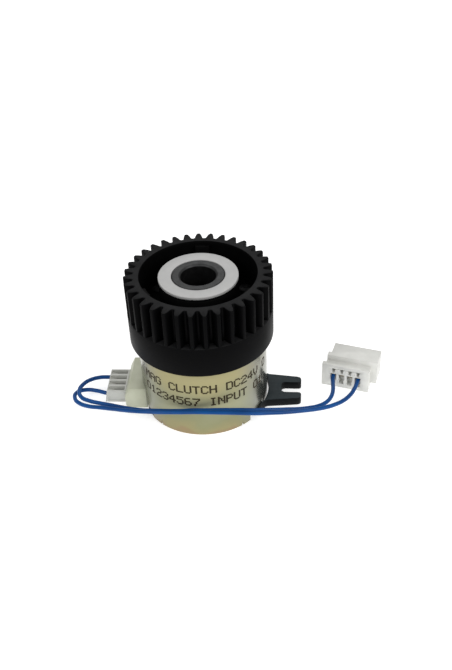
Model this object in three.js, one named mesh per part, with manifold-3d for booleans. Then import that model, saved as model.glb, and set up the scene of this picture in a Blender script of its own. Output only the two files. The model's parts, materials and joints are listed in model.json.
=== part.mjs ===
// Electromagnetic clutch with a 35-tooth input gear.
// Millimetres, +Z up along the clutch axis, origin on the axis at the yoke's foot, +X along the torque arm.

import * as THREE from "three";
import { mergeVertices } from "three/addons/utils/BufferGeometryUtils.js";
import Module from "manifold-3d";

const wasm = await Module();
wasm.setup();

// ---- driving dimensions ----

const SEG = 40; // facets round an inner ring
const RUN = 0.12; // radial running gap on the hub

// magnet body
const YOKE_R = 15.0;
const YOKE_WALL = 1.5;
const YOKE_TOP = 18.1;
const NOTCH_TOP = 1.95; // height of the arm plate's notches in the yoke's rim
const HEADER_WINDOW_TOP = 6.6;
const STAKE_ANGLES = [51, 129.5, 230.5, 309];
const BASE_Z = [2.3, 4.2];
const CORE_R = [7.1, 8.6];
const BOBBIN_R = [8.75, 13.2];
const BOBBIN_Z = [4.4, 16.9];
const FLANGE = 0.8;
const WINDING_R = [9.65, 12.4];
const BUSH_R = [6.0 + RUN, 7.0];

// arm plate
const PLATE_Z = [0.2, 1.8];
const PLATE_R = [8.2, 13.3];
const ARM_ROOT_R = 15.4; // the slit between the yoke's wall and the arm ends here
const ARM_TIP_X = 23.3;
const ARM_ROOT_HALF = 4.75;
const ARM_TIP_HALF = 3.85;
const ARM_TOP = 2.3;
const ARM_TURN = -1.5; // degrees from +X
const ARM_SLOT = { half: 1.8, from: 18.5, corner: 1.1, mouth: 0.85 };
const BRIDGE = [20.8, 30.0]; // degrees either side of the arm

// rotor
const HUB_R = 6.0;
const BORE_R = 4.0;
const HUB_Z = [0.4, 34.75];
const BORE_FLAT = 3.4; // distance of the drive flat from the axis
const BORE_FLAT_TOP = 8.4;
const CLIP_GROOVE = { z0: 0.95, z1: 1.5, r: 5.4 };
const DISC_R = 14.6;
const DISC_Z = [18.4, 20.6];
const DISC_BOSS = { r: 7.0, z1: 23.5 };
const POLE_SLOT = { r: 10.1, half: 0.55, span: 48, count: 6 };
const FACING_R = [11.5, 13.3];
const COLLAR_R = 9.0;
const COLLAR_Z = [34.1, 34.75];

// input gear
const TEETH = 35;
const MODULE = 0.9;
const TIP_R = 16.65;
const ROOT_R = 14.55;
const TOOTH_PHASE = 1.2; // degrees from +X to the first tooth's middle
const GEAR_Z = { skirt: 19.05, teeth: 26.6, top: 35.4 };
const SKIRT_IN_R = 15.2;
const WEB_Z = [23.9, 26.9];
const RECESS_R = 13.17;
const GEAR_BOSS = { r: 9.0, z0: 23.6, z1: 33.6 };
const PAD_ANGLES = [-30, 90, 210];

// armature and its spring
const ARMATURE_R = [7.4, 14.4];
const ARMATURE_Z = [20.95, 22.75];
const SPRING_R = [9.7, 13.5];
const SPRING_Z = [22.85, 23.05];
const RIVET_CIRCLE = 11.6;
const GEAR_RIVET_ANGLES = [30, 150, 270];
const ARMATURE_RIVET_ANGLES = [90, 210, 330];

// connectors and leads
const PITCH = 2.0;
const HEADER_X = [-18.9, -13.6];
const HEADER_HALF = 6.0;
const PLUG_X = [-24.25, -23.6]; // foot and top edge of the sloped wire side
const PLUG_HALF = 4.0;
const PLUG_Z = [0.3, 3.9];
const CONTACT_Z = 2.2;
const LEAD_D = 1.0;
const FREE_CORNER = [28.4, 3.3];
const FREE_TURN = -16.5; // degrees, free connector's width from +X
const FREE_LEAD_Z = 3.2;
const FREE_DEPTH = 6.9;
const LEAD_1 = [
  [-23.6, 3, 2.2], [-26.3, 2.8, 2.3], [-28.5, 1.3, 2.8], [-29.9, -1, 3.3], [-30.4, -3.6, 3.6],
  [-29.4, -6.2, 3.7], [-27.2, -7.7, 3.9], [-24.6, -8.7, 4.1], [-22.1, -9.6, 4.4],
  [-19.6, -10.7, 4.8], [-17.2, -11.9, 5.4], [-14.7, -13, 6], [-12.2, -13.9, 6.6],
  [-9.6, -14.5, 7.1], [-7, -15.1, 7.6], [-4.3, -15.5, 8], [-1.5, -15.7, 8.4], [1.2, -15.9, 8.6],
  [3.9, -15.9, 8.7], [6.7, -15.8, 8.65], [9.4, -15.6, 8.5], [12.1, -15.2, 8.1], [14.7, -14.6, 7.65],
  [17.3, -13.9, 7.1], [19.9, -13.1, 6.5], [22.4, -12.1, 5.7], [24.8, -10.9, 5], [27, -9.4, 4.2],
  [28.9, -7.6, 3.7], [30.2, -5.2, 3.3], [30.8, -2.7, 3.2], [30.9, -0.3, 3.2], [31, 2.2, 3.2],
];
const LEAD_2 = [
  [-23.6, -3, 2.2], [-26.3, -2.2, 2.2], [-29.1, -1.8, 2.2], [-31.6, -2.9, 2.3], [-31.4, -5.6, 2.6],
  [-29.7, -7.7, 3], [-27.2, -9.1, 3.4], [-24.6, -10.1, 4], [-22, -11.1, 4.6], [-19.6, -12.3, 5.4],
  [-17.2, -13.6, 6.3], [-14.8, -14.8, 7.2], [-12.2, -15.7, 7.9], [-9.5, -16.3, 8.35],
  [-6.7, -16.7, 8.7], [-3.9, -16.9, 8.9], [-1.1, -17.1, 9.1], [1.8, -17.1, 9.1], [4.6, -17, 9],
  [7.4, -16.85, 8.8], [10.2, -16.6, 8.5], [13, -16.2, 8.1], [15.7, -15.5, 7.6], [18.4, -14.8, 7.1],
  [21.1, -13.9, 6.55], [23.7, -12.9, 6], [26.2, -11.8, 5.4], [28.6, -10.4, 4.7],
  [30.8, -8.8, 4.1], [32.9, -6.9, 3.6], [34.6, -4.7, 3.3], [35.9, -2.2, 3.2], [36.8, 0.5, 3.2],
];

// ---- materials ----

function material(color, roughness, metalness) {
  return new THREE.MeshStandardMaterial({ color, roughness, metalness });
}

const ZINC = material(0xb3ac84, 0.35, 0.9);
const STEEL = material(0x9a9a98, 0.4, 0.9);
const SINTERED = material(0x44454a, 0.55, 0.7);
const SPRING_STEEL = material(0xb8b9ba, 0.3, 1.0);
const COPPER = material(0xb06a3a, 0.4, 0.8);
const BLACK = material(0x1b1b1d, 0.45, 0.0);
const BLACK_STEEL = material(0x2a2a2c, 0.5, 0.6);
const ARM_BLACK = material(0x2c2f30, 0.5, 0.0);
const FACING = material(0x4b3f36, 0.9, 0.0);
const COLLAR = material(0xb4b5b8, 0.45, 0.1);
const NATURAL = material(0xe9e5d6, 0.5, 0.0);
const BOBBIN = material(0xddd8c2, 0.55, 0.0);
const TAPE = material(0xd9b24a, 0.4, 0.0);
const HEADER = material(0xb9bca8, 0.5, 0.0);
const WHITE = material(0xd8d8d2, 0.5, 0.0);
const TIN = material(0xc9c9c4, 0.3, 0.9);
const BLUE = material(0x114a92, 0.45, 0.0);

// ---- helpers ----

const rad = THREE.MathUtils.degToRad;

function solid(geometry) {
  const g = geometry.clone();
  g.deleteAttribute("normal");
  g.deleteAttribute("uv");
  const m = mergeVertices(g, 1e-5);
  return new wasm.Manifold(new wasm.Mesh({
    numProp: 3,
    vertProperties: new Float32Array(m.attributes.position.array),
    triVerts: new Uint32Array(m.index.array),
  }));
}

function mesh(name, body, mat) {
  const data = body.getMesh();
  const g = new THREE.BufferGeometry();
  g.setAttribute("position", new THREE.BufferAttribute(new Float32Array(data.vertProperties), 3));
  g.setIndex(new THREE.BufferAttribute(new Uint32Array(data.triVerts), 1));
  g.computeVertexNormals();
  const node = new THREE.Mesh(g, mat);
  node.name = name;
  return node;
}

// Closed profile of [radius, z] pairs, anticlockwise, turned about the Z axis.
function turned(profile, segments = SEG) {
  const points = profile.map(([r, z]) => new THREE.Vector2(r, z));
  if (profile[0][0] > 0) {
    points.push(points[0].clone());
  }
  return solid(new THREE.LatheGeometry(points, segments).rotateX(Math.PI / 2));
}

function ring(rIn, rOut, z0, z1, segments = SEG) {
  return turned([[rIn, z0], [rOut, z0], [rOut, z1], [rIn, z1]], segments);
}

function box(x0, x1, y0, y1, z0, z1) {
  const g = new THREE.BoxGeometry(x1 - x0, y1 - y0, z1 - z0);
  return solid(g.translate((x0 + x1) / 2, (y0 + y1) / 2, (z0 + z1) / 2));
}

function rod(x, y, r, z0, z1, segments = 12) {
  const g = new THREE.CylinderGeometry(r, r, z1 - z0, segments).rotateX(Math.PI / 2);
  return solid(g.translate(x, y, (z0 + z1) / 2));
}

function plate(shape, z0, z1, curveSegments = 12) {
  const g = new THREE.ExtrudeGeometry(shape, { depth: z1 - z0, bevelEnabled: false, curveSegments });
  return solid(g.translate(0, 0, z0));
}

function polar(r, degrees) {
  return [r * Math.cos(rad(degrees)), r * Math.sin(rad(degrees))];
}

function polygon(points) {
  return new THREE.Shape(points.map(([x, y]) => new THREE.Vector2(x, y)));
}

// Part of a flat ring between two angles in degrees.
function sector(rIn, rOut, a0, a1, z0, z1, steps = 12) {
  const points = [];
  for (let i = 0; i <= steps; i += 1) {
    points.push(polar(rOut, a0 + ((a1 - a0) * i) / steps));
  }
  for (let i = steps; i >= 0; i -= 1) {
    points.push(polar(rIn, a0 + ((a1 - a0) * i) / steps));
  }
  return plate(polygon(points), z0, z1);
}

function union(parts) {
  return parts.reduce((sum, part) => sum.add(part));
}

function cut(body, tools) {
  return tools.reduce((rest, tool) => rest.subtract(tool), body);
}

// ---- magnet body ----

function yokeShell() {
  const inner = YOKE_R - YOKE_WALL;
  const wall = turned([
    [inner, 0], [YOKE_R - 0.15, 0], [YOKE_R, 0.15], [YOKE_R, YOKE_TOP], [inner, YOKE_TOP],
  ], 96);
  const tools = [
    sector(12, 17, 20, 41.4, -1, NOTCH_TOP),
    sector(12, 17, -41.4, -20, -1, NOTCH_TOP),
    sector(12, 17, 142.5, 217.5, -1, NOTCH_TOP, 24),
    sector(12, 17, 154.5, 205.5, -1, HEADER_WINDOW_TOP, 24),
  ];
  for (const angle of STAKE_ANGLES) {
    const v = new THREE.Shape();
    v.moveTo(-0.55, -1);
    v.lineTo(0.55, -1);
    v.lineTo(0, 0.9);
    v.closePath();
    const g = new THREE.ExtrudeGeometry(v, { depth: 4, bevelEnabled: false });
    g.rotateX(Math.PI / 2).rotateZ(Math.PI / 2).translate(12, 0, 0).rotateZ(rad(angle));
    tools.push(solid(g));
  }
  return mesh("yoke_shell", cut(wall, tools), ZINC);
}

function basePlate() {
  return mesh("base_plate", ring(7.1, 13.4, BASE_Z[0], BASE_Z[1]), STEEL);
}

function coreTube() {
  return mesh("core_tube", ring(CORE_R[0], CORE_R[1], 4.3, YOKE_TOP), STEEL);
}

function coilBobbin() {
  const [r0, r1] = BOBBIN_R;
  const [z0, z1] = BOBBIN_Z;
  return mesh("coil_bobbin", turned([
    [r0, z0], [r1, z0], [r1, z0 + FLANGE], [r0 + 0.8, z0 + FLANGE],
    [r0 + 0.8, z1 - FLANGE], [r1, z1 - FLANGE], [r1, z1], [r0, z1],
  ]), BOBBIN);
}

function coilWinding() {
  const z0 = BOBBIN_Z[0] + FLANGE + 0.05;
  const z1 = BOBBIN_Z[1] - FLANGE - 0.05;
  return mesh("coil_winding", ring(WINDING_R[0], WINDING_R[1], z0, z1), COPPER);
}

function windingTape() {
  const z0 = BOBBIN_Z[0] + FLANGE + 0.05;
  const z1 = BOBBIN_Z[1] - FLANGE - 0.05;
  return mesh("winding_tape", ring(WINDING_R[1] + 0.1, WINDING_R[1] + 0.4, z0, z1), TAPE);
}

function statorBush() {
  return mesh("stator_bush", turned([
    [BUSH_R[0], 2.3], [BUSH_R[1], 2.3], [BUSH_R[1], YOKE_TOP - 0.1], [BUSH_R[0], YOKE_TOP - 0.1],
  ]), NATURAL);
}

// Outline of the torque arm outside the yoke: a tapering tongue with an open slot, rounded at its corners.
function armOutline() {
  const s = new THREE.Shape();
  const [ex, ey] = polar(15.3, BRIDGE[1]);
  const [ix, iy] = polar(15.1, BRIDGE[0] + 0.6);
  s.moveTo(ex, -ey);
  s.quadraticCurveTo(14.5, -ARM_ROOT_HALF - 0.15, 15.4, -ARM_ROOT_HALF);
  s.lineTo(ARM_TIP_X - 1.1, -ARM_TIP_HALF - 0.1);
  s.quadraticCurveTo(ARM_TIP_X, -ARM_TIP_HALF, ARM_TIP_X, -ARM_TIP_HALF + 1.1);
  s.lineTo(ARM_TIP_X, -ARM_SLOT.half - ARM_SLOT.mouth);
  s.quadraticCurveTo(ARM_TIP_X, -ARM_SLOT.half, ARM_TIP_X - ARM_SLOT.mouth, -ARM_SLOT.half);
  s.lineTo(ARM_SLOT.from + ARM_SLOT.corner, -ARM_SLOT.half);
  s.quadraticCurveTo(ARM_SLOT.from, -ARM_SLOT.half, ARM_SLOT.from, -ARM_SLOT.half + ARM_SLOT.corner);
  s.lineTo(ARM_SLOT.from, ARM_SLOT.half - ARM_SLOT.corner);
  s.quadraticCurveTo(ARM_SLOT.from, ARM_SLOT.half, ARM_SLOT.from + ARM_SLOT.corner, ARM_SLOT.half);
  s.lineTo(ARM_TIP_X - ARM_SLOT.mouth, ARM_SLOT.half);
  s.quadraticCurveTo(ARM_TIP_X, ARM_SLOT.half, ARM_TIP_X, ARM_SLOT.half + ARM_SLOT.mouth);
  s.lineTo(ARM_TIP_X, ARM_TIP_HALF - 1.1);
  s.quadraticCurveTo(ARM_TIP_X, ARM_TIP_HALF, ARM_TIP_X - 1.1, ARM_TIP_HALF + 0.1);
  s.lineTo(15.4, ARM_ROOT_HALF);
  s.quadraticCurveTo(14.5, ARM_ROOT_HALF + 0.15, ex, ey);
  s.lineTo(ix, iy);
  for (let a = 18; a >= -18; a -= 3) {
    s.lineTo(...polar(ARM_ROOT_R, a));
  }
  s.lineTo(ix, -iy);
  s.closePath();
  return s;
}

function armPlate() {
  const [z0, z1] = PLATE_Z;
  const [b0, b1] = BRIDGE;
  const parts = [
    ring(PLATE_R[0], PLATE_R[1], z0, z1, 48),
    plate(armOutline(), z0, ARM_TOP, 4).rotate([0, 0, ARM_TURN]),
    sector(13.0, 15.3, b0, b1, z0, z1),
    sector(13.0, 15.3, -b1, -b0, z0, z1),
    sector(13.0, 14.85, 143.4, 153.8, z0, z1),
    sector(13.0, 14.85, -153.8, -143.4, z0, z1),
  ];
  const clear = box(-14.4, -11.0, -6.3, 6.3, -1, 3);
  return mesh("arm_plate", union(parts).subtract(clear), ARM_BLACK);
}

// ---- connector header and plug at the yoke's foot ----

function contactY(i) {
  return (1.5 - i) * PITCH;
}

function connectorHeader() {
  const [x0, x1] = HEADER_X;
  const side = new THREE.Shape();
  side.moveTo(x0, 0.2);
  side.lineTo(x1, 0.2);
  side.lineTo(x1, 6.2);
  side.lineTo(-17.8, 6.2);
  side.lineTo(x0, 3.95);
  side.closePath();
  const g = new THREE.ExtrudeGeometry(side, { depth: 2 * HEADER_HALF, bevelEnabled: false });
  g.rotateX(Math.PI / 2).translate(0, HEADER_HALF, 0);
  const tools = [box(-20, -15.2, -4.1, 4.1, 0.75, 3.4)];
  for (let i = 0; i < 4; i += 1) {
    const y = contactY(i);
    tools.push(box(-16, -12, y - 0.4, y + 0.4, CONTACT_Z - 0.4, CONTACT_Z + 0.4));
  }
  return mesh("connector_header", cut(solid(g), tools), HEADER);
}

function headerPins() {
  return [0, 1, 2, 3].map((i) => {
    const y = contactY(i);
    const pin = box(-18.2, -13.6, y - 0.25, y + 0.25, CONTACT_Z - 0.25, CONTACT_Z + 0.25);
    return mesh(`header_pin_${i + 1}`, pin, TIN);
  });
}

function plugHousing() {
  const [z0, z1] = PLUG_Z;
  const side = polygon([[PLUG_X[0], z0], [-19.05, z0], [-19.05, z1], [PLUG_X[1], z1]]);
  const g = new THREE.ExtrudeGeometry(side, { depth: 2 * PLUG_HALF, bevelEnabled: false });
  const body = solid(g.rotateX(Math.PI / 2).translate(0, PLUG_HALF, 0));
  const nose = box(-19.2, -15.4, -3.95, 3.95, 0.95, 3.2);
  const tools = [];
  for (let i = 0; i < 4; i += 1) {
    const y = contactY(i);
    tools.push(box(-25, -15, y - 0.74, y + 0.74, CONTACT_Z - 0.75, CONTACT_Z + 0.75));
    const ramp = polygon([
      [-23.5, 4.1], [-23.2, 3.6], [-22.3, 3.2], [-21.4, 2.4], [-19.35, 2.4], [-19.35, 4.1],
    ]);
    const pocket = new THREE.ExtrudeGeometry(ramp, { depth: 1.3, bevelEnabled: false });
    tools.push(solid(pocket.rotateX(Math.PI / 2).translate(0, y + 0.65, 0)));
  }
  for (const wall of [-1, 1]) {
    const y = wall * PLUG_HALF;
    tools.push(box(-23.4, -19.6, y - 0.14, y + 0.14, 0.8, 3.5));
  }
  return mesh("plug_housing", cut(body.add(nose), tools), WHITE);
}

function plugContacts() {
  return [0, 1, 2, 3].map((i) => {
    const y = contactY(i);
    const shell = box(-22.6, -15.7, y - 0.5, y + 0.5, CONTACT_Z - 0.55, CONTACT_Z + 0.5);
    const socket = box(-18.6, -15, y - 0.33, y + 0.33, CONTACT_Z - 0.33, CONTACT_Z + 0.33);
    const crimp = box(-23, -20.6, y - 0.3, y + 0.3, CONTACT_Z - 0.25, CONTACT_Z + 1);
    return mesh(`plug_contact_${i + 1}`, cut(shell, [socket, crimp]), TIN);
  });
}

// ---- leads and free connector ----

// Tube of round section along a smooth line through the given points.
function lead(name, points) {
  const path = new THREE.CatmullRomCurve3(points.map((p) => new THREE.Vector3(...p)), false, "centripetal");
  const section = polygon([0, 1, 2, 3, 4, 5, 6, 7].map((i) => polar(LEAD_D / 2, i * 45)));
  const g = new THREE.ExtrudeGeometry(section, { steps: 44, extrudePath: path, bevelEnabled: false });
  return mesh(name, solid(g), BLUE);
}

function placeFree(body) {
  return body.rotate([0, 0, FREE_TURN]).translate([FREE_CORNER[0], FREE_CORNER[1], 0]);
}

function freeU(i) {
  return 2.83 + i * PITCH;
}

// Stepped housing: a low front with the lead entries, a taller block behind it, clear of the table.
function freeHousing() {
  const lip = box(0, 11.5, 0, 1.0, 0.1, 6.6);
  const front = box(0.75, 11.5, 0.5, 3.0, 0.1, 6.6);
  const back = box(1.5, 13.0, 1.9, FREE_DEPTH, 1.8, 8.05);
  const rib = box(0.75, 1.8, 1.9, 3.2, 0.1, 8.05);
  const tools = [box(freeU(0) - 0.2, freeU(3) + 0.9, -1, 0.25, 5.45, 5.65)];
  for (let i = 0; i < 4; i += 1) {
    const u = freeU(i);
    tools.push(box(u - 0.72, u + 0.72, -1, 9, FREE_LEAD_Z - 0.8, FREE_LEAD_Z + 0.8));
    tools.push(box(u - 0.58, u + 0.58, -1, 1.6, 1.2, FREE_LEAD_Z));
    const lance = polygon([[u - 0.28, 4.25], [u + 0.28, 4.25], [u + 0.45, 5.6], [u - 0.45, 5.6]]);
    const g = new THREE.ExtrudeGeometry(lance, { depth: 3, bevelEnabled: false });
    tools.push(solid(g.rotateX(Math.PI / 2).translate(0, 1.6, 0)));
  }
  return mesh("free_connector_housing", placeFree(cut(union([lip, front, back, rib]), tools)), WHITE);
}

function freeContacts() {
  return [0, 1, 2, 3].map((i) => {
    const u = freeU(i);
    const z = FREE_LEAD_Z;
    const shell = box(u - 0.5, u + 0.5, 1.2, 6.6, z - 0.55, z + 0.55);
    const socket = box(u - 0.33, u + 0.33, 3.6, 8, z - 0.33, z + 0.33);
    const crimp = box(u - 0.3, u + 0.3, 0, 2.8, z - 0.25, z + 1);
    return mesh(`free_contact_${i + 1}`, placeFree(cut(shell, [socket, crimp])), TIN);
  });
}

// ---- rotor ----

function rotorHub() {
  const c = 0.35;
  const g = CLIP_GROOVE;
  const tube = turned([
    [BORE_R, HUB_Z[0] + c], [BORE_R + c, HUB_Z[0]], [HUB_R - c, HUB_Z[0]], [HUB_R, HUB_Z[0] + 0.4],
    [HUB_R, g.z0], [g.r, g.z0], [g.r, g.z1], [HUB_R, g.z1],
    [HUB_R, HUB_Z[1] - 0.2], [HUB_R - 0.2, HUB_Z[1]], [BORE_R + c, HUB_Z[1]], [BORE_R, HUB_Z[1] - c],
  ], 48);
  const r = BORE_R + 0.1;
  const half = THREE.MathUtils.radToDeg(Math.acos(BORE_FLAT / r));
  const chord = [];
  for (let i = 0; i <= 12; i += 1) {
    chord.push(polar(r, 180 - half + (2 * half * i) / 12));
  }
  return mesh("rotor_hub", tube.add(plate(polygon(chord), HUB_Z[0] + 0.8, BORE_FLAT_TOP)), SINTERED);
}

function rotorDisc() {
  const [z0, z1] = DISC_Z;
  const r = HUB_R + 0.05;
  const disc = turned([
    [r, z0], [DISC_R - 0.2, z0], [DISC_R, z0 + 0.2], [DISC_R, z1], [FACING_R[1] + 0.1, z1],
    [FACING_R[1] + 0.1, z1 - 0.7], [FACING_R[0] - 0.1, z1 - 0.7], [FACING_R[0] - 0.1, z1],
    [DISC_BOSS.r, z1], [DISC_BOSS.r, DISC_BOSS.z1], [r, DISC_BOSS.z1],
  ], 48);
  const tools = [];
  for (let i = 0; i < POLE_SLOT.count; i += 1) {
    const a = (360 / POLE_SLOT.count) * i;
    const half = POLE_SLOT.span / 2;
    const [inner, outer] = [POLE_SLOT.r - POLE_SLOT.half, POLE_SLOT.r + POLE_SLOT.half];
    tools.push(sector(inner, outer, a - half, a + half, 17, 22, 6));
  }
  return mesh("rotor_disc", cut(disc, tools), STEEL);
}

function frictionFacing() {
  return mesh("friction_facing", ring(FACING_R[0], FACING_R[1], DISC_Z[1] - 0.62, DISC_Z[1] + 0.02), FACING);
}

function retainingCollar() {
  const [z0, z1] = COLLAR_Z;
  const r = HUB_R + 0.05;
  return mesh("retaining_collar", turned([
    [r, z0], [COLLAR_R, z0], [COLLAR_R, z1 - 0.12], [COLLAR_R - 0.12, z1], [r, z1],
  ], 64), COLLAR);
}

function thrustWasher() {
  return mesh("thrust_washer", ring(HUB_R + RUN, 8.6, 33.7, 34.0), SPRING_STEEL);
}

function bottomWasher() {
  return mesh("bottom_washer", ring(HUB_R + RUN, 7.8, 1.65, 2.15), NATURAL);
}

function retainingClip() {
  const clip = ring(CLIP_GROOVE.r + 0.06, 7.4, CLIP_GROOVE.z0 + 0.06, CLIP_GROOVE.z1 - 0.06, 64);
  return mesh("retaining_clip", clip.subtract(box(0, 9, -1.8, 1.8, 0, 3)), SPRING_STEEL);
}

// ---- input gear, armature and leaf spring ----

// Half angle of a tooth at radius r, for a 20 degree involute.
function toothHalfAngle(r) {
  const pitchR = (MODULE * TEETH) / 2;
  const baseR = pitchR * Math.cos(rad(20));
  const inv = (a) => Math.tan(a) - a;
  const at = Math.acos(Math.min(1, baseR / r));
  return Math.PI / (2 * TEETH) + inv(rad(20)) - inv(at);
}

function toothRing(z0, z1) {
  const points = [];
  const radii = [ROOT_R + 0.3, 15.75, TIP_R];
  for (let t = 0; t < TEETH; t += 1) {
    const mid = rad(TOOTH_PHASE) + (2 * Math.PI * t) / TEETH;
    const flank = radii.map((r) => [r, toothHalfAngle(r)]);
    const left = [[ROOT_R, toothHalfAngle(ROOT_R) + 0.008], ...flank];
    points.push(...left.map(([r, h]) => [r * Math.cos(mid - h), r * Math.sin(mid - h)]));
    left.reverse();
    points.push(...left.map(([r, h]) => [r * Math.cos(mid + h), r * Math.sin(mid + h)]));
  }
  return plate(polygon(points), z0, z1);
}

// The gear is one moulding, kept as a rim and a web so that its recess stays open.
function gearRim() {
  const { skirt, teeth, top } = GEAR_Z;
  const blank = turned([
    [RECESS_R, WEB_Z[0]], [SKIRT_IN_R, WEB_Z[0]], [SKIRT_IN_R, skirt], [TIP_R, skirt], [TIP_R, teeth],
    [14.2, teeth], [14.2, top], [RECESS_R, top],
  ], 70);
  const toothed = toothRing(teeth - 0.05, top).subtract(rod(0, 0, 13.9, teeth - 1, top + 1, 70));
  const half = (1.6 / 12.6) * (180 / Math.PI);
  const pads = PAD_ANGLES.map((angle) => {
    return sector(12.2, 13.6, angle - half, angle + half, WEB_Z[1], top - 1.0, 4);
  });
  return mesh("gear_rim", union([blank, toothed, ...pads]), BLACK);
}

function gearWeb() {
  const bore = HUB_R + RUN;
  const web = turned([
    [bore, GEAR_BOSS.z0], [GEAR_BOSS.r, GEAR_BOSS.z0], [GEAR_BOSS.r, WEB_Z[0]], [RECESS_R, WEB_Z[0]],
    [RECESS_R, WEB_Z[1]], [GEAR_BOSS.r, WEB_Z[1]], [GEAR_BOSS.r, GEAR_BOSS.z1], [bore, GEAR_BOSS.z1],
  ], 70);
  const feet = GEAR_RIVET_ANGLES.map((angle) => {
    return rod(...polar(RIVET_CIRCLE, angle), 1.5, 23.2, WEB_Z[0] + 0.2);
  });
  const holes = GEAR_RIVET_ANGLES.map((angle) => rod(...polar(RIVET_CIRCLE, angle), 0.95, 22, 28));
  return mesh("gear_web", cut(union([web, ...feet]), holes), BLACK);
}

function leafSpring() {
  const [z0, z1] = SPRING_Z;
  const tools = [];
  for (const angle of [...GEAR_RIVET_ANGLES, ...ARMATURE_RIVET_ANGLES]) {
    tools.push(rod(...polar(RIVET_CIRCLE, angle), 0.95, z0 - 1, z1 + 1));
    tools.push(sector(11.25, 11.95, angle + 14, angle + 46, z0 - 1, z1 + 1, 4));
  }
  return mesh("leaf_spring", cut(ring(SPRING_R[0], SPRING_R[1], z0, z1, 48), tools), SPRING_STEEL);
}

function gearRivets() {
  return GEAR_RIVET_ANGLES.map((angle, i) => {
    const [x, y] = polar(RIVET_CIRCLE, angle);
    const g = union([
      rod(x, y, 1.5, 22.3, 22.75),
      rod(x, y, 0.8, 22.5, 27.2),
      rod(x, y, 1.5, 27.0, 27.5),
    ]);
    return mesh(`gear_rivet_${i + 1}`, g, BLACK_STEEL);
  });
}

function armatureDisc() {
  const [z0, z1] = ARMATURE_Z;
  const disc = turned([
    [ARMATURE_R[0], z0], [ARMATURE_R[1], z0], [ARMATURE_R[1], z1 - 0.2], [ARMATURE_R[1] - 0.2, z1],
    [ARMATURE_R[0], z1],
  ], 48);
  const tools = GEAR_RIVET_ANGLES.map((angle) => rod(...polar(RIVET_CIRCLE, angle), 1.9, 20, 24));
  for (const angle of ARMATURE_RIVET_ANGLES) {
    tools.push(rod(...polar(RIVET_CIRCLE, angle), 0.95, 20, 24));
    tools.push(rod(...polar(RIVET_CIRCLE, angle), 1.65, 20, z0 + 0.65));
  }
  return mesh("armature_disc", cut(disc, tools), ZINC);
}

function armatureRivets() {
  return ARMATURE_RIVET_ANGLES.map((angle, i) => {
    const [x, y] = polar(RIVET_CIRCLE, angle);
    const g = union([rod(x, y, 1.5, 21.1, 21.5), rod(x, y, 0.8, 21.3, 23.3), rod(x, y, 1.5, 23.15, 23.55)]);
    return mesh(`armature_rivet_${i + 1}`, g, SPRING_STEEL);
  });
}

// ---- assembly ----

const magnetBody = new THREE.Group();
magnetBody.add(yokeShell(), basePlate(), coreTube(), coilBobbin(), coilWinding(), windingTape());
magnetBody.add(statorBush(), armPlate(), connectorHeader(), ...headerPins());
magnetBody.add(plugHousing(), ...plugContacts());
magnetBody.add(lead("lead_wire_1", LEAD_1), lead("lead_wire_2", LEAD_2), freeHousing(), ...freeContacts());

const rotor = new THREE.Group();
rotor.add(rotorHub(), rotorDisc(), frictionFacing(), retainingCollar(), thrustWasher());
rotor.add(bottomWasher(), retainingClip());

const gearSet = new THREE.Group();
gearSet.add(gearRim(), gearWeb(), leafSpring(), ...gearRivets(), armatureDisc(), ...armatureRivets());

const clutch = new THREE.Group();
clutch.add(magnetBody, rotor, gearSet);

export default clutch;
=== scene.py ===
import json
import math

import bmesh
import bpy
from mathutils import Matrix, Vector


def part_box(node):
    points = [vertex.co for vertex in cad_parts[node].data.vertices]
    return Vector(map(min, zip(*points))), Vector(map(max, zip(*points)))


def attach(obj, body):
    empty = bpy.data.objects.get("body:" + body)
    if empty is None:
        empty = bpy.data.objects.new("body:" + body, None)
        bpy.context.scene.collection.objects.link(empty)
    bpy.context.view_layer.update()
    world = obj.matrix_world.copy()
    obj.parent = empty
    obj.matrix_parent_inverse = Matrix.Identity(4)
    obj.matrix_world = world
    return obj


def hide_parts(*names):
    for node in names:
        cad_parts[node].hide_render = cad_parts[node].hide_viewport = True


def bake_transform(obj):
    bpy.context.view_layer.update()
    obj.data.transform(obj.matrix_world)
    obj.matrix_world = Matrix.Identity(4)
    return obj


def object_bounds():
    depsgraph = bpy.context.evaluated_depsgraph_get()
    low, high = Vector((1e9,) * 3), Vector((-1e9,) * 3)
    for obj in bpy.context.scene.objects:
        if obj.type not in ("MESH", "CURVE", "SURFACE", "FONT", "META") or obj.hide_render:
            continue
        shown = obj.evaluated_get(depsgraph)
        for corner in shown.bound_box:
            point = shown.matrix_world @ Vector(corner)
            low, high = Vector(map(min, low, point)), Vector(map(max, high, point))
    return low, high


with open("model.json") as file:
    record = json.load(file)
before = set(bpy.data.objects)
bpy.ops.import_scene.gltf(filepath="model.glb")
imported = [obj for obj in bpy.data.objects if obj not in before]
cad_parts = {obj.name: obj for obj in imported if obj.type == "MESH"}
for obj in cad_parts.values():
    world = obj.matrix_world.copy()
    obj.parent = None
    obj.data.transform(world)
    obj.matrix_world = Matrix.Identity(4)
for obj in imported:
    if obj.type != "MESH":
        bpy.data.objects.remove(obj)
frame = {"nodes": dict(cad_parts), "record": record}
cad_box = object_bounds()

MM = 0.001
TAU = 2 * math.pi


# ---- camera, floor and light ----

LENS = 46.97
SENSOR = 36
CAMERA_PLACE = (18.23, -160.87, 142.42)  # millimetres
CAMERA_TURN = 4.498  # degrees round Z, positive to the left
CAMERA_DOWN = 37.677  # degrees below the horizon
CAMERA_ROLL = -2.7
FLOOR_GAP = 0.00002  # keeps the floor's face clear of the feet that stand on it


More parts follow.
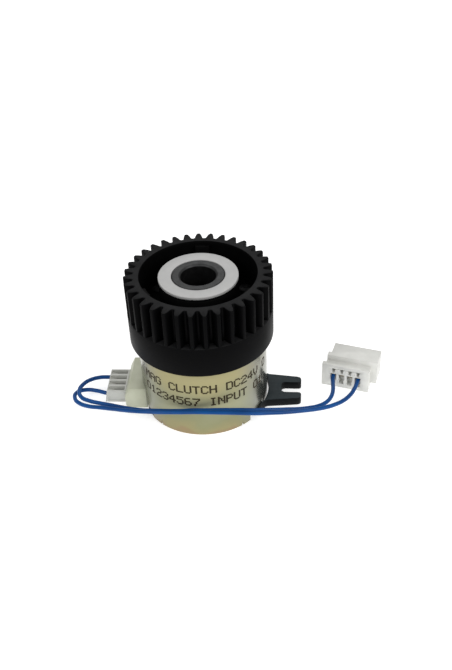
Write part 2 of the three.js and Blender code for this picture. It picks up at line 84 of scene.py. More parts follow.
def add_camera():
    data = bpy.data.cameras.new("camera")
    data.lens = LENS
    data.sensor_width = SENSOR
    data.clip_start = 0.01
    data.clip_end = 10
    camera = bpy.data.objects.new("camera", data)
    bpy.context.scene.collection.objects.link(camera)
    turn = Matrix.Rotation(math.radians(CAMERA_TURN), 4, "Z")
    tilt = Matrix.Rotation(math.radians(90 - CAMERA_DOWN), 4, "X")
    roll = Matrix.Rotation(math.radians(CAMERA_ROLL), 4, "Z")
    place = Matrix.Translation(Vector(CAMERA_PLACE) * MM)
    camera.matrix_world = place @ turn @ tilt @ roll
    bpy.context.scene.camera = camera


def add_area(name, place, size, power):
    """A soft rectangular lamp that faces the middle of the clutch."""
    data = bpy.data.lights.new(name, "AREA")
    data.shape = "RECTANGLE"
    data.size = size[0]
    data.size_y = size[1]
    data.energy = power
    light = bpy.data.objects.new(name, data)
    bpy.context.scene.collection.objects.link(light)
    light.location = place
    light.rotation_euler = (Vector((0, 0, 0.02)) - Vector(place)).to_track_quat("-Z", "Y").to_euler()


def add_studio():
    world = bpy.data.worlds.new("studio")
    world.use_nodes = True
    background = world.node_tree.nodes["Background"]
    background.inputs["Color"].default_value = (1, 1, 1, 1)
    background.inputs["Strength"].default_value = 0.38
    bpy.context.scene.world = world
    bpy.context.scene.view_settings.view_transform = "Standard"
    add_area("key", (0.42, -0.3, 0.38), (0.4, 0.4), 2.1)
    add_area("fill", (-0.35, -0.35, 0.4), (0.4, 0.3), 1.3)
    add_area("back", (0.0, 0.4, 0.45), (0.5, 0.3), 1.0)
    mesh = bpy.data.meshes.new("floor")
    mesh.from_pydata([(-2, -2, 0), (2, -2, 0), (2, 2, 0), (-2, 2, 0)], [], [(0, 1, 2, 3)])
    floor = bpy.data.objects.new("floor", mesh)
    floor.location.z = cad_box[0][2] - FLOOR_GAP
    bpy.context.scene.collection.objects.link(floor)
    floor.data.materials.append(floor_material())


def floor_material():
    mat = bpy.data.materials.new("floor_paper")
    mat.use_nodes = True
    shader = mat.node_tree.nodes["Principled BSDF"]
    shader.inputs["Base Color"].default_value = (0.8, 0.8, 0.8, 1)
    shader.inputs["Roughness"].default_value = 0.9
    shader.inputs["Specular IOR Level"].default_value = 0.1
    shader.inputs["Emission Color"].default_value = (1, 1, 1, 1)
    shader.inputs["Emission Strength"].default_value = 0.55
    return mat


# ---- materials ----

def link_noise(tree, where, scale, detail):
    noise = tree.nodes.new("ShaderNodeTexNoise")
    noise.inputs["Scale"].default_value = scale
    noise.inputs["Detail"].default_value = detail
    tree.links.new(where.outputs["Object"], noise.inputs["Vector"])
    return noise.outputs["Fac"]


def link_range(tree, value, start, end, low=0.0, high=1.0, smooth=False):
    """Takes value from start..end to low..high, held at both ends."""
    node = tree.nodes.new("ShaderNodeMapRange")
    if smooth:
        node.interpolation_type = "SMOOTHSTEP"
    for socket, number in zip(("From Min", "From Max", "To Min", "To Max"), (start, end, low, high)):
        node.inputs[socket].default_value = number
    tree.links.new(value, node.inputs["Value"])
    return node.outputs["Result"]


def link_ramp(tree, value, stops):
    """Colours value by (position, colour) stops."""
    node = tree.nodes.new("ShaderNodeValToRGB")
    elements = node.color_ramp.elements
    while len(elements) < len(stops):
        elements.new(0.5)
    for element, (position, color) in zip(elements, stops):
        element.position = position
        element.color = (*color, 1)
    tree.links.new(value, node.inputs["Fac"])
    return node.outputs["Color"]


def start_finish(name, metallic, grain, bump):
    """A new material with fine grain in its bump, and that grain's noise."""
    mat = bpy.data.materials.new(name)
    mat.use_nodes = True
    tree = mat.node_tree
    shader = tree.nodes["Principled BSDF"]
    where = tree.nodes.new("ShaderNodeTexCoord")
    fine = link_noise(tree, where, grain, 6)
    relief = tree.nodes.new("ShaderNodeBump")
    relief.inputs["Strength"].default_value = bump
    relief.inputs["Distance"].default_value = 0.00003
    tree.links.new(fine, relief.inputs["Height"])
    tree.links.new(relief.outputs["Normal"], shader.inputs["Normal"])
    shader.inputs["Metallic"].default_value = metallic
    return mat, tree, shader, where, fine


def surface(name, low, high, roughness, metallic, patch, grain, bump, specular):
    """A finish whose colour drifts between two tints, with fine grain in its bump and roughness."""
    mat, tree, shader, where, fine = start_finish(name, metallic, grain, bump)
    drift = link_noise(tree, where, patch, 4)
    tree.links.new(link_ramp(tree, drift, [(0.32, low), (0.68, high)]), shader.inputs["Base Color"])
    spread = link_range(tree, fine, 0, 1, roughness - 0.08, roughness + 0.08)
    tree.links.new(spread, shader.inputs["Roughness"])
    shader.inputs["Specular IOR Level"].default_value = specular
    return mat


ZINC_BANDS = [
    (0.0, (0.31, 0.235, 0.12)), (0.05, (0.31, 0.275, 0.13)), (0.22, (0.27, 0.27, 0.14)),
    (0.42, (0.31, 0.315, 0.2)), (0.62, (0.34, 0.33, 0.19)), (0.82, (0.355, 0.32, 0.16)),
]
# Pale grey for the yoke's left and right flanks: a painted reflection of the backdrop, not the plating's own
# colour.
ZINC_SIDE_REFLECTION = (0.27, 0.275, 0.255)


def zinc():
    """Yellow zinc plate: pale gold that drifts to green and pink with height, with a pale grey painted
    towards the left and right flanks as a painted reflection of the backdrop.
    """
    mat, tree, shader, where, _ = start_finish("yellow_zinc", 0.92, 2200, 0.08)
    split = tree.nodes.new("ShaderNodeSeparateXYZ")
    tree.links.new(where.outputs["Object"], split.inputs["Vector"])
    wander = tree.nodes.new("ShaderNodeMath")
    wander.operation = "MULTIPLY_ADD"
    wander.inputs[1].default_value = 0.011
    tree.links.new(link_noise(tree, where, 110, 3), wander.inputs[0])
    tree.links.new(split.outputs["Z"], wander.inputs[2])
    height = link_range(tree, wander.outputs["Value"], 0.0055, 0.0235)
    flank = tree.nodes.new("ShaderNodeMath")
    flank.operation = "ABSOLUTE"
    tree.links.new(split.outputs["X"], flank.inputs[0])
    across = flank.outputs["Value"]
    # Painted reflection: the colour is blended to the grey flank tint as the distance from the middle along x
    # grows.
    blend = tree.nodes.new("ShaderNodeMix")
    blend.data_type = "RGBA"
    tree.links.new(link_range(tree, across, 0.0075, 0.0145, 0, 0.8, True), blend.inputs["Factor"])
    tree.links.new(link_ramp(tree, height, ZINC_BANDS), blend.inputs["A"])
    blend.inputs["B"].default_value = (*ZINC_SIDE_REFLECTION, 1)
    tree.links.new(blend.outputs["Result"], shader.inputs["Base Color"])
    tree.links.new(link_range(tree, across, 0.009, 0.0145, 0.5, 0.2, True), shader.inputs["Roughness"])
    tree.links.new(link_range(tree, across, 0.009, 0.0145, 0.35, 0.95, True), shader.inputs["Metallic"])
    return mat


def paint_side_shade(mat, dark):
    """Painted shade: leaves a finish's own colour on faces that look up and takes the others to a darker
    tint, which stands for the shade on side walls.
    """
    tree = mat.node_tree
    shader = tree.nodes["Principled BSDF"]
    color = shader.inputs["Base Color"].links[0].from_socket
    facing = tree.nodes.new("ShaderNodeNewGeometry")
    split = tree.nodes.new("ShaderNodeSeparateXYZ")
    tree.links.new(facing.outputs["Normal"], split.inputs["Vector"])
    blend = tree.nodes.new("ShaderNodeMix")
    blend.data_type = "RGBA"
    blend.inputs["A"].default_value = (*dark, 1)
    tree.links.new(link_range(tree, split.outputs["Z"], 0.35, 0.85), blend.inputs["Factor"])
    tree.links.new(color, blend.inputs["B"])
    tree.links.new(blend.outputs["Result"], shader.inputs["Base Color"])


# name, two tints, roughness, metallic, scale of the drift, scale of the grain, bump, specular level
FINISHES = [
    ("steel", (0.3, 0.3, 0.3), (0.4, 0.4, 0.39), 0.38, 0.95, 250, 6000, 0.15, 0.5),
    ("sintered", (0.026, 0.0265, 0.027), (0.042, 0.043, 0.043), 0.5, 0.6, 900, 5200, 0.3, 0.5),
    # bore: a near-black copy of the sintered tint for the faces down the hub's bore, a painted shade in the
    # deep hole.
    ("bore", (0.002, 0.002, 0.002), (0.005, 0.005, 0.005), 0.6, 0, 900, 5200, 0.3, 0.1),
    ("spring_steel", (0.42, 0.42, 0.42), (0.55, 0.55, 0.55), 0.28, 1.0, 250, 6000, 0.15, 0.5),
    ("black_steel", (0.012, 0.012, 0.013), (0.02, 0.02, 0.021), 0.5, 0.3, 900, 5200, 0.3, 0.2),
    ("copper", (0.36, 0.11, 0.04), (0.52, 0.19, 0.07), 0.35, 0.9, 700, 9000, 0.4, 0.5),
    ("black_gear", (0.011, 0.011, 0.0115), (0.016, 0.016, 0.0165), 0.45, 0, 500, 7000, 0.18, 0.035),
    # recess: a near-black copy of black_gear for the faces inside the gear's recess, a painted shade in the
    # hollow.
    ("recess", (0.0012, 0.0012, 0.0013), (0.002, 0.002, 0.002), 0.55, 0, 500, 7000, 0.18, 0.04),
    ("black_arm", (0.019, 0.026, 0.029), (0.027, 0.035, 0.039), 0.45, 0, 420, 6000, 0.2, 0.1),
    ("facing", (0.05, 0.035, 0.025), (0.11, 0.08, 0.055), 0.85, 0, 1800, 6000, 0.7, 0.5),
    ("collar", (0.385, 0.385, 0.38), (0.41, 0.41, 0.4), 0.42, 0, 600, 8000, 0.06, 0.5),
    ("natural", (0.72, 0.68, 0.56), (0.8, 0.77, 0.66), 0.45, 0, 250, 6000, 0.15, 0.5),
    ("bobbin", (0.62, 0.58, 0.45), (0.7, 0.66, 0.52), 0.5, 0, 250, 6000, 0.15, 0.5),
    ("tape", (0.6, 0.36, 0.05), (0.72, 0.46, 0.08), 0.25, 0, 250, 6000, 0.15, 0.5),
    ("header", (0.47, 0.485, 0.36), (0.52, 0.535, 0.41), 0.42, 0, 380, 5200, 0.16, 0.5),
    ("connector_white", (0.62, 0.62, 0.585), (0.68, 0.68, 0.645), 0.4, 0, 420, 5600, 0.14, 0.5),
    ("plug_white", (0.46, 0.465, 0.43), (0.51, 0.515, 0.48), 0.4, 0, 420, 5600, 0.14, 0.5),
    # tin: the contacts' metal, with tints taken darker and browner than bright tin as painted shade for the
    # contacts deep in the plug's pockets.
    ("tin", (0.2, 0.17, 0.11), (0.36, 0.33, 0.25), 0.35, 0.9, 900, 7000, 0.2, 0.5),
    ("lead_blue", (0.001, 0.042, 0.17), (0.0015, 0.066, 0.25), 0.36, 0, 160, 5000, 0.1, 0.2),
    ("ink", (0.022, 0.015, 0.006), (0.045, 0.034, 0.014), 0.6, 0, 1500, 9000, 0.2, 0.2),
]
FINISH = {name: surface(name, *values) for name, *values in FINISHES}
FINISH["yellow_zinc"] = zinc()
# Painted shade: the side walls of the gear and of the arm are taken darker than their tops.
paint_side_shade(FINISH["black_gear"], (0.0014, 0.0014, 0.0016))
paint_side_shade(FINISH["black_arm"], (0.0016, 0.0022, 0.003))


# ---- mesh helpers (all lengths in millimetres) ----

def add_piece(name, verts, faces):
    mesh = bpy.data.meshes.new(name)
    mesh.from_pydata([(x * MM, y * MM, z * MM) for x, y, z in verts], [], faces)
    piece = bpy.data.objects.new(name, mesh)
    bpy.context.scene.collection.objects.link(piece)
    clean(piece)
    return piece


def clean(piece):
    """Merges doubled points and turns every face outward."""
    bm = bmesh.new()
    bm.from_mesh(piece.data)
    bmesh.ops.remove_doubles(bm, verts=bm.verts, dist=1e-7)
    bmesh.ops.recalc_face_normals(bm, faces=bm.faces)
    bm.to_mesh(piece.data)
    bm.free()


def settle(piece, kind, **settings):
    """Applies one modifier to the piece's own mesh."""
    modifier = piece.modifiers.new(kind.lower(), kind)
    for key, value in settings.items():
        setattr(modifier, key, value)
    graph = bpy.context.evaluated_depsgraph_get()
    done = bpy.data.meshes.new_from_object(piece.evaluated_get(graph))
    piece.modifiers.clear()
    piece.data = done


def shade(piece, angle=38):
    piece.data.shade_smooth()
    piece.data.set_sharp_from_angle(angle=math.radians(angle))


def bevelled(piece, width, angle=32):
    limit = math.radians(angle)
    settle(piece, "BEVEL", width=width * MM, segments=2, limit_method="ANGLE", angle_limit=limit)


def finish(piece, body, slot, *nodes):
    """Gives the piece the material of its slot and its body, and hides the CAD nodes that it stands for."""
    piece.data.materials.clear()
    piece.data.materials.append(FINISH[slot])
    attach(piece, body)
    if nodes:
        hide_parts(*nodes)


def rounded(profile, radius=0.15, steps=3):
    """A closed [r, z] profile with every corner turned into a small arc."""
    out = []
    count = len(profile)
    for i, corner in enumerate(profile):
        corner = Vector(corner)
        before = Vector(profile[i - 1]) - corner
        after = Vector(profile[(i + 1) % count]) - corner
        reach = min(radius, 0.45 * before.length, 0.45 * after.length)
        a = corner + before.normalized() * reach
        b = corner + after.normalized() * reach
        for k in range(steps + 1):
            t = k / steps
            out.append(tuple((1 - t) ** 2 * a + 2 * t * (1 - t) * corner + t ** 2 * b))
    return out


def stack(name, rings):
    """A closed surface through rings of points that all have the same count."""
    n = len(rings[0])
    verts = [p for ring in rings for p in ring]
    faces = []
    for k in range(len(rings)):
        a = k * n
        b = ((k + 1) % len(rings)) * n
        faces += [(a + i, a + (i + 1) % n, b + (i + 1) % n, b + i) for i in range(n)]
    return add_piece(name, verts, faces)


def turned(name, profile, segments=192):
    angles = [TAU * i / segments for i in range(segments)]
    return stack(name, [[(r * math.cos(a), r * math.sin(a), z) for a in angles] for r, z in profile])


def prism(name, outline, z0, z1):
    n = len(outline)
    verts = [(x, y, z0) for x, y in outline] + [(x, y, z1) for x, y in outline]
    faces = [tuple(range(n)), tuple(range(n, 2 * n))]
    faces += [(i, (i + 1) % n, n + (i + 1) % n, n + i) for i in range(n)]
    return add_piece(name, verts, faces)


def sector(name, r_in, r_out, a0, a1, z0, z1, steps=32):
    angles = [math.radians(a0 + (a1 - a0) * i / steps) for i in range(steps + 1)]
    outline = [(r_out * math.cos(a), r_out * math.sin(a)) for a in angles]
    outline += [(r_in * math.cos(a), r_in * math.sin(a)) for a in reversed(angles)]
    return prism(name, outline, z0, z1)


def carve(piece, cutters, operation="DIFFERENCE"):
    for cutter in cutters:
        settle(piece, "BOOLEAN", object=cutter, operation=operation, solver="EXACT")
        bpy.data.objects.remove(cutter)


def from_cad(node, name, width):
    """A copy of a CAD node's solid with its flat faces joined up and its edges softened."""
    piece = bpy.data.objects.new(name, frame["nodes"][node].data.copy())
    bpy.context.scene.collection.objects.link(piece)
    bm = bmesh.new()
    bm.from_mesh(piece.data)
    bmesh.ops.remove_doubles(bm, verts=bm.verts, dist=1e-6)
    bmesh.ops.dissolve_limit(bm, angle_limit=math.radians(0.5), verts=bm.verts, edges=bm.edges)
    bmesh.ops.recalc_face_normals(bm, faces=bm.faces)
    bm.to_mesh(piece.data)
    bm.free()
    bevelled(piece, width)
    shade(piece)
    return piece


def corners(node):
    """The node's box in millimetres, as (low, high)."""
    low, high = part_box(node)
    return low / MM, high / MM


# ---- leads ----

LEAD_1 = [
    (-22.6, 3, 2.2), (-23.9, 3, 2.2), (-26.3, 2.8, 2.3), (-28.5, 1.3, 2.8), (-29.9, -1, 3.3),
    (-30.4, -3.6, 3.6), (-29.4, -6.2, 3.7), (-27.2, -7.7, 3.9), (-24.6, -8.7, 4.1), (-22.1, -9.6, 4.4),
    (-19.6, -10.7, 4.8), (-17.2, -11.9, 5.4), (-14.7, -13, 6), (-12.2, -13.9, 6.6), (-9.6, -14.5, 7.1),
    (-7, -15.1, 7.6), (-4.3, -15.5, 8), (-1.5, -15.7, 8.4), (1.2, -15.9, 8.6), (3.9, -15.9, 8.7),
    (6.7, -15.8, 8.65), (9.4, -15.6, 8.5), (12.1, -15.2, 8.1), (14.7, -14.6, 7.65), (17.3, -13.9, 7.1),
    (19.9, -13.1, 6.5), (22.4, -12.1, 5.7), (24.8, -10.9, 5), (27, -9.4, 4.2), (28.9, -7.6, 3.7),
    (30.2, -5.2, 3.3), (30.8, -2.7, 3.2), (30.9, -0.3, 3.2), (31, 2.2, 3.2), (31.3, 3.4, 3.2),
]
LEAD_2 = [
    (-22.6, -3, 2.2), (-23.9, -2.95, 2.2), (-26.3, -2.2, 2.2), (-29.1, -1.8, 2.2), (-31.3, -2.95, 2.3),
    (-31.25, -5.5, 2.6), (-29.65, -7.65, 3), (-27.2, -9.1, 3.4), (-24.6, -10.1, 4), (-22, -11.1, 4.6),
    (-19.6, -12.3, 5.4), (-17.2, -13.6, 6.3), (-14.8, -14.8, 7.2), (-12.2, -15.7, 7.9), (-9.5, -16.3, 8.35),
    (-6.7, -16.7, 8.7), (-3.9, -16.9, 8.9), (-1.1, -17.05, 9.1), (1.8, -17.06, 9.1), (4.6, -17, 9),
    (7.4, -16.85, 8.8), (10.2, -16.6, 8.5), (13, -16.2, 8.1), (15.7, -15.5, 7.6), (18.4, -14.8, 7.1),
    (21.1, -13.9, 6.55), (23.7, -12.9, 6), (26.2, -11.8, 5.4), (28.6, -10.4, 4.7), (30.8, -8.8, 4.1),
    (32.9, -6.9, 3.6), (34.6, -4.7, 3.3), (35.9, -2.2, 3.2), (36.8, 0.5, 3.2), (37.2, 1.8, 3.2),
]
LEAD_D = 1.0


def add_lead(name, node, points):
    """A lead through the given points, whose first and last lie inside the two connectors."""
    curve = bpy.data.curves.new(name, "CURVE")
    curve.dimensions = "3D"
    curve.bevel_depth = LEAD_D / 2 * MM
    curve.bevel_resolution = 5
    curve.resolution_u = 6
    curve.use_fill_caps = True
    spline = curve.splines.new("BEZIER")
    spline.bezier_points.add(len(points) - 1)
    for knot, point in zip(spline.bezier_points, points):
        knot.co = Vector(point) * MM
        knot.handle_left_type = "AUTO"
        knot.handle_right_type = "AUTO"
    piece = bpy.data.objects.new(name, curve)
    bpy.context.scene.collection.objects.link(piece)
    finish(piece, "magnet_body", "lead_blue", node)


# ---- gear ----

TEETH = 35
MODULE = 0.9
PRESSURE_ANGLE = math.radians(20)
TIP_R = 16.65
ROOT_R = 14.55
TOOTH_PHASE = 1.2  # degrees from +X to the first tooth's middle
TOOTH_FOOT = 26.6  # height at which the smooth skirt ends and the teeth begin
RECESS_R = 13.17
PAD_R = 12.2  # the pads on the recess's wall reach in to here
PAD_ANGLES = (-30, 90, 210)
PAD_HALF = 7.3
WEB = (23.9, 26.9)  # the disc between the rim and the boss
BOSS_R = 9.0
BOSS = (23.6, 33.6)
BOSS_BORE_R = 6.14
SKIRT_BORE_R = 15.2
RIVET_CIRCLE = 11.6
GEAR_RIVET_ANGLES = (30, 150, 270)
RIVET_HOLE_R = 0.95


def tooth_half_angle(r):
    """Half of a tooth's angle at radius r, by the involute."""
    base_r = MODULE * TEETH / 2 * math.cos(PRESSURE_ANGLE)

    def involute(a):
        return math.tan(a) - a

    at = math.acos(min(1, base_r / r))
    return math.pi / (2 * TEETH) + involute(PRESSURE_ANGLE) - involute(at)


def tooth_outline():
    """The whole toothed outline, anticlockwise, as (r, angle) pairs."""
    flank = [(r, tooth_half_angle(r)) for r in (14.95, 15.25, 15.6, 15.95, 16.25, 16.5)]
    tip = tooth_half_angle(TIP_R)
    root = tooth_half_angle(ROOT_R)
    fillet = [(ROOT_R, root + 0.021), (14.6, root + 0.0115), (14.73, root + 0.004)]
    rounding = [(TIP_R - 0.04, tip + 0.0005), (TIP_R - 0.008, tip - 0.003), (TIP_R, tip - 0.0075)]
    half = [(ROOT_R, math.pi / TEETH)] + fillet + flank + rounding + [(TIP_R, tip * 0.3)]
    outline = []
    for t in range(TEETH):
        middle = math.radians(TOOTH_PHASE) + TAU * t / TEETH
        outline += [(r, middle - h) for r, h in half]
        outline += [(r, middle + h) for r, h in reversed(half[1:])]
    return outline


def inset(points, distance):
    """Moves each point of a closed anticlockwise outline inward along the outline's normal."""
    out = []
    for i, (x, y) in enumerate(points):
        ahead = Vector(points[(i + 1) % len(points)]) - Vector(points[i - 1])
        side = Vector((-ahead.y, ahead.x)).normalized() * distance
        out.append((x + side.x, y + side.y))
    return out


def add_gear():
    """The whole gear as one turned surface, whose rings follow the teeth and the pads."""
    low, high = corners("gear_rim")
    skirt, top = low.z, high.z
    outline = tooth_outline()
    flat = [(r * math.cos(a), r * math.sin(a)) for r, a in outline]
    angles = [a for _, a in outline]

    def circle(r, z):
        return [(r * math.cos(a), r * math.sin(a), z) for a in angles]

    def toothed(z, distance=0.0):
        return [(x, y, z) for x, y in inset(flat, distance)]

    def near_pad(a):
        return min(abs((math.degrees(a) - p + 180) % 360 - 180) for p in PAD_ANGLES) < PAD_HALF

    def recess(r, r_pad, z):
        radii = [r_pad if near_pad(a) else r for a in angles]
        return [(q * math.cos(a), q * math.sin(a), z) for q, a in zip(radii, angles)]

    web_under, web_top = WEB
    boss_foot, boss_top = BOSS
    rings = [
        circle(15.4, skirt), circle(TIP_R - 0.3, skirt), circle(TIP_R - 0.09, skirt + 0.09),
        circle(TIP_R, skirt + 0.3), circle(TIP_R, TOOTH_FOOT - 0.14), circle(TIP_R - 0.04, TOOTH_FOOT - 0.04),
        circle(TIP_R - 0.12, TOOTH_FOOT),
        toothed(TOOTH_FOOT), toothed(TOOTH_FOOT + 0.02), toothed(top - 0.22),
        toothed(top - 0.07, 0.05), toothed(top, 0.16),
        circle(14.1, top), circle(13.5, top),
        circle(RECESS_R + 0.1, top - 0.05), circle(RECESS_R + 0.02, top - 0.2),
        recess(RECESS_R, RECESS_R, top - 0.95), recess(RECESS_R, PAD_R + 0.1, top - 1.0),
        recess(RECESS_R, PAD_R, top - 1.15), recess(RECESS_R, PAD_R, web_top + 0.3),
        recess(13.0, PAD_R - 0.1, web_top + 0.05), circle(12.1, web_top),
        circle(9.5, web_top), circle(9.1, web_top + 0.08), circle(BOSS_R, web_top + 0.4),
        circle(BOSS_R, boss_top - 0.2), circle(8.9, boss_top - 0.03), circle(8.7, boss_top),
        circle(6.3, boss_top), circle(BOSS_BORE_R, boss_top - 0.15),
        circle(BOSS_BORE_R, boss_foot + 0.15), circle(6.3, boss_foot), circle(8.9, boss_foot),
        circle(BOSS_R, boss_foot + 0.1), circle(BOSS_R, web_under),
        circle(15.0, web_under), circle(SKIRT_BORE_R, web_under - 0.2), circle(SKIRT_BORE_R, skirt + 0.2),
    ]
    gear = stack("input_gear_fine", rings)
    carve(gear, [rivet_hole(angle, 20, 30) for angle in GEAR_RIVET_ANGLES])
    shade(gear, 40)
    finish(gear, "gear", "black_gear", "gear_rim", "gear_web")
    # Painted shade: the faces inside the recess take the darker recess finish, standing for the shade in the
    # hollow.
    gear.data.materials.append(FINISH["recess"])
    for face in gear.data.polygons:
        x, y, z = face.center / MM
        if math.hypot(x, y) < 13.3 and 24 < z < top - 0.3:
            face.material_index = 1


def add_gear_rivet(index):
    node = f"gear_rivet_{index}"
    low, high = corners(node)
    x, y = (low.x + high.x) / 2, (low.y + high.y) / 2
    z0, z1 = low.z, high.z
    head_r, shank_r, point = 1.5, 0.8, 1e-4
    profile = [
        (point, z0), (0.9, z0), (1.35, z0 + 0.12), (head_r, z0 + 0.3), (head_r, z0 + 0.45),
        (shank_r, z0 + 0.45), (shank_r, z1 - 0.5), (head_r, z1 - 0.5), (head_r, z1 - 0.32),
        (1.3, z1 - 0.14), (0.9, z1 - 0.03), (0.45, z1 - 0.03), (0.3, z1 - 0.15), (point, z1 - 0.18),
    ]
    angles = [TAU * i / 40 for i in range(40)]
    rings = [[(x + r * math.cos(a), y + r * math.sin(a), z) for a in angles] for r, z in profile]
    piece = stack(f"{node}_fine", rings)
    shade(piece, 30)
    finish(piece, "gear", "black_steel", node)


def on_rivet_circle(angle, z=0.0):
    a = math.radians(angle)
    return Vector((RIVET_CIRCLE * math.cos(a), RIVET_CIRCLE * math.sin(a), z))


def rivet_hole(angle, z0, z1):
    middle = on_rivet_circle(angle)
    turns = [TAU * i / 32 for i in range(32)]
    spot = [(middle.x + RIVET_HOLE_R * math.cos(t), middle.y + RIVET_HOLE_R * math.sin(t)) for t in turns]
    return prism("hole", spot, z0, z1)


SPRING_R = (9.7, 13.5)
SPRING_SLOT_R = (11.25, 11.95)
SPRING_ARM = 60  # degrees from a gear rivet to the armature rivets beside it
SLOT_END = 14  # degrees from a rivet to the end of the slot


def add_spring_arm(index):
    """One sixth of the leaf spring, a flat sector that reaches from its gear rivet to its armature rivet."""
    low, high = corners("leaf_spring")
    fixed = GEAR_RIVET_ANGLES[index // 2]
    free_end = fixed + (SPRING_ARM if index % 2 == 0 else -SPRING_ARM)
    a0, a1 = min(fixed, free_end), max(fixed, free_end)
    piece = sector(f"leaf_spring_fine_{index + 1}", *SPRING_R, a0, a1, low.z, high.z, 48)
    below, above = low.z - 1, high.z + 1
    cutters = [rivet_hole(angle, below, above) for angle in (a0, a1)]
    cutters.append(sector("slot", *SPRING_SLOT_R, a0 + SLOT_END, a1 - SLOT_END, below, above))
    carve(piece, cutters)
    clean(piece)
    shade(piece, 30)
    piece.data.materials.clear()
    piece.data.materials.append(FINISH["spring_steel"])
    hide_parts("leaf_spring")
    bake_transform(piece)


# ---- rotor ----

HUB_R = 6.0
BORE_R = 4.0
BORE_FLAT = 3.4  # distance of the drive flat from the axis
FLAT_TOP = 8.4
COLLAR_R = 9.0
CLIP_GROOVE = (0.95, 1.5)
GROOVE_R = 5.4


def add_hub():
    low, high = corners("rotor_hub")
    z0, z1 = low.z, high.z
    g0, g1 = CLIP_GROOVE
    profile = [
        (BORE_R, z0 + 0.35), (4.35, z0), (5.7, z0), (HUB_R, z0 + 0.35), (HUB_R, g0), (GROOVE_R, g0),
        (GROOVE_R, g1), (HUB_R, g1), (HUB_R, z1 - 0.22), (5.8, z1), (4.38, z1), (BORE_R, z1 - 0.38),
    ]
    hub = turned("rotor_hub_fine", rounded(profile, 0.07, 2))
    sunk = BORE_R + 0.15
    half = math.acos(BORE_FLAT / sunk)
    sweep = [half - half * i / 12 for i in range(25)]
    chord = [(-sunk * math.cos(a), sunk * math.sin(a)) for a in sweep]
    carve(hub, [prism("flat", chord, z0 + 0.8, FLAT_TOP)], "UNION")
    shade(hub, 35)
    finish(hub, "rotor", "sintered", "rotor_hub")
    # Painted shade: the faces down the bore take the near-black bore finish, standing for the shade in the
    # deep hole.
    hub.data.materials.append(FINISH["bore"])
    for face in hub.data.polygons:
        x, y, z = face.center / MM
        if math.hypot(x, y) < BORE_R + 0.05 and 0.8 < z < z1 - 0.45:
            face.material_index = 1


def add_collar():
    low, high = corners("retaining_collar")
    z0, z1 = low.z, high.z
    r0, r1 = HUB_R + 0.05, COLLAR_R
    collar = turned("retaining_collar_fine", rounded([(r0, z0), (r1, z0), (r1, z1), (r0, z1)], 0.13))
    shade(collar)
    finish(collar, "rotor", "collar", "retaining_collar")


# ---- yoke and its marking ----

YOKE_R = (13.5, 15.0)
NOTCH_TOP = 1.95
NOTCHES = [(20, 41.4), (-41.4, -20), (142.5, 217.5)]
WINDOW = (154.5, 205.5)
WINDOW_TOP = 6.6
STAKES = (51.3, 129.3, 230.3, 309.3)


def wedge(angle, half_width, top):
    """A three-sided cutter that leaves a V-shaped stake slit at the yoke's foot."""
    a = math.radians(angle)
    out, side = Vector((math.cos(a), math.sin(a))), Vector((-math.sin(a), math.cos(a)))
    verts = []
    reach = side * half_width
    for base in (out * 12, out * 16.5):
        verts += [(*(base - reach), -1), (*(base + reach), -1), (*base, top)]
    return add_piece("stake", verts, [(0, 1, 2), (3, 5, 4), (0, 3, 4, 1), (1, 4, 5, 2), (2, 5, 3, 0)])


def add_yoke():
    low, high = corners("yoke_shell")
    z0, z1 = low.z, high.z
    r0, r1 = YOKE_R
    profile = [(r0, z0), (r1 - 0.15, z0), (r1, z0 + 0.15), (r1, z1 - 0.25), (r1 - 0.25, z1), (r0, z1)]
    yoke = turned("yoke_shell_fine", rounded(profile, 0.1), 360)
    notches = [sector("notch", 12, 17, a0, a1, -1, NOTCH_TOP) for a0, a1 in NOTCHES]
    carve(yoke, notches + [sector("window", 12, 17, *WINDOW, -1, WINDOW_TOP)])
    bevelled(yoke, 0.12, 40)
    carve(yoke, [wedge(angle, 0.6, 1.5) for angle in STAKES])
    clean(yoke)
    shade(yoke, 45)
    finish(yoke, "magnet_body", "yellow_zinc", "yoke_shell")


# Five columns by seven rows for each printed character, top row first.
GLYPHS = {
    "0": "01110 10001 10001 10001 10001 10001 01110", "1": "00100 01100 00100 00100 00100 00100 01110",
    "2": "01110 10001 00001 00110 01000 10000 11111", "3": "01110 10001 00001 00110 00001 10001 01110",
    "4": "00010 00110 01010 10010 11111 00010 00010", "5": "11111 10000 11110 00001 00001 10001 01110",
    "6": "01110 10000 10000 11110 10001 10001 01110", "7": "11111 00001 00010 00100 00100 01000 01000",
    "A": "01110 10001 10001 11111 10001 10001 10001", "C": "01110 10001 10000 10000 10000 10001 01110",
    "D": "11110 10001 10001 10001 10001 10001 11110", "G": "01110 10001 10000 10011 10001 10001 01110",
    "H": "10001 10001 10001 11111 10001 10001 10001", "I": "01110 00100 00100 00100 00100 00100 01110",
    "L": "10000 10000 10000 10000 10000 10000 11111", "M": "10001 11011 10101 10101 10001 10001 10001",
    "N": "10001 11001 10101 10101 10011 10001 10001", "P": "11110 10001 10001 11110 10000 10000 10000",
    "T": "11111 00100 00100 00100 00100 00100 00100", "U": "10001 10001 10001 10001 10001 10001 01110",
    "V": "10001 10001 10001 10001 01010 01010 00100",
}
# wording, height of its foot, angle of its first column
ROWS = [("MAG CLUTCH DC24V 0", 12.85, -146.0), ("01234567 INPUT 01", 9.2, -146.5)]
LETTER_PITCH = 7.35  # degrees
COLUMN_PITCH = 1.28  # degrees
LINE_PITCH = 0.325
DOT_HALF = (0.25, 0.22)  # half of a dot's width and height
DOT_DEPTH = (14.97, 15.015)  # a dot's inner and outer radius from the yoke's axis
DOT_SIDES = 10


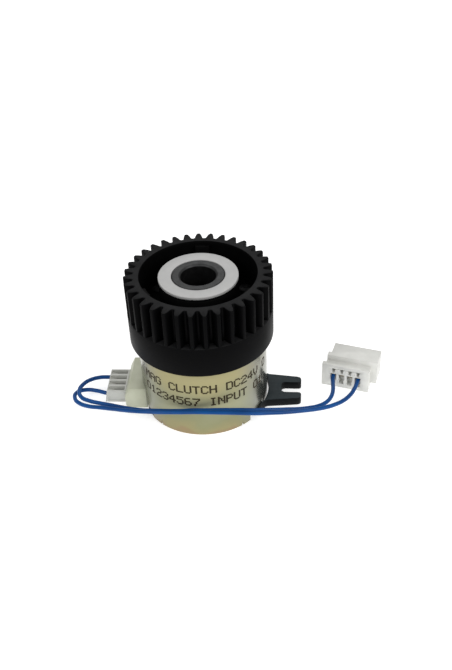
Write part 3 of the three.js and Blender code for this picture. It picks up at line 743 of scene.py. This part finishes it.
def printed_dots():
    """(angle, height) of each dot of the wording."""
    for text, foot, start in ROWS:
        for k, letter in enumerate(text):
            if letter == " ":
                continue
            for line, bits in enumerate(GLYPHS[letter].split()):
                for column, bit in enumerate(bits):
                    if bit == "1":
                        angle = start + LETTER_PITCH * k + COLUMN_PITCH * column
                        yield math.radians(angle), foot + LINE_PITCH * (6 - line)


def add_marking():
    """Generic dot-printed wording in two rows round the front of the yoke."""
    verts, faces = [], []
    for angle, height in printed_dots():
        add_dot(verts, faces, angle, height)
    piece = add_piece("yoke_marking", verts, faces)
    piece.data.materials.append(FINISH["ink"])
    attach(piece, "magnet_body")


def add_dot(verts, faces, angle, height):
    """One ink dot: a thin round pad that follows the yoke's wall."""
    base = len(verts)
    count = DOT_SIDES
    half_width, half_height = DOT_HALF
    turns = [TAU * i / count for i in range(count)]
    for r in DOT_DEPTH:
        for t in turns:
            a = angle + half_width * math.cos(t) / YOKE_R[1]
            verts.append((r * math.cos(a), r * math.sin(a), height + half_height * math.sin(t)))
    faces.append(tuple(base + i for i in range(count)))
    faces.append(tuple(base + count + i for i in reversed(range(count))))
    for i in range(count):
        j = (i + 1) % count
        faces.append((base + j, base + i, base + count + i, base + count + j))


# ---- the whole clutch ----

PLUG_FACE = (-19.17, -19.03)  # the plug's shoulder, which the CAD keeps clear of the header
PLUG_SHIFT = 0.14


def paint_cad_nodes():
    for part in frame["record"]["subparts"]:
        data = frame["nodes"][part["node"]].data
        data.materials.clear()
        data.materials.append(FINISH[part["material_slot"]])


def add_from_cad(node, name, width, body, slot):
    piece = from_cad(node, name, width)
    finish(piece, body, slot, node)
    return piece


def add_plug():
    """The plug, with its shoulder moved up to the header's face."""
    plug = from_cad("plug_housing", "plug_housing_fine", 0.1)
    start, end = PLUG_FACE
    for vertex in plug.data.vertices:
        if start * MM < vertex.co.x < end * MM:
            vertex.co.x += PLUG_SHIFT * MM
    finish(plug, "magnet_body", "connector_white", "plug_housing")
    plug.data.materials[0] = FINISH["plug_white"]


add_camera()
paint_cad_nodes()
add_from_cad("free_connector_housing", "free_connector_fine", 0.14, "magnet_body", "connector_white")
add_lead("lead_wire_1_fine", "lead_wire_1", LEAD_1)
add_lead("lead_wire_2_fine", "lead_wire_2", LEAD_2)
add_studio()

add_gear()
for number in (1, 2, 3):
    add_gear_rivet(number)
for number in range(6):
    add_spring_arm(number)
add_hub()
add_collar()
add_from_cad("rotor_disc", "rotor_disc_fine", 0.08, "rotor", "steel")
add_yoke()
add_marking()
add_from_cad("arm_plate", "arm_plate_fine", 0.2, "magnet_body", "black_arm")
add_from_cad("connector_header", "connector_header_fine", 0.18, "magnet_body", "header")
add_plug()
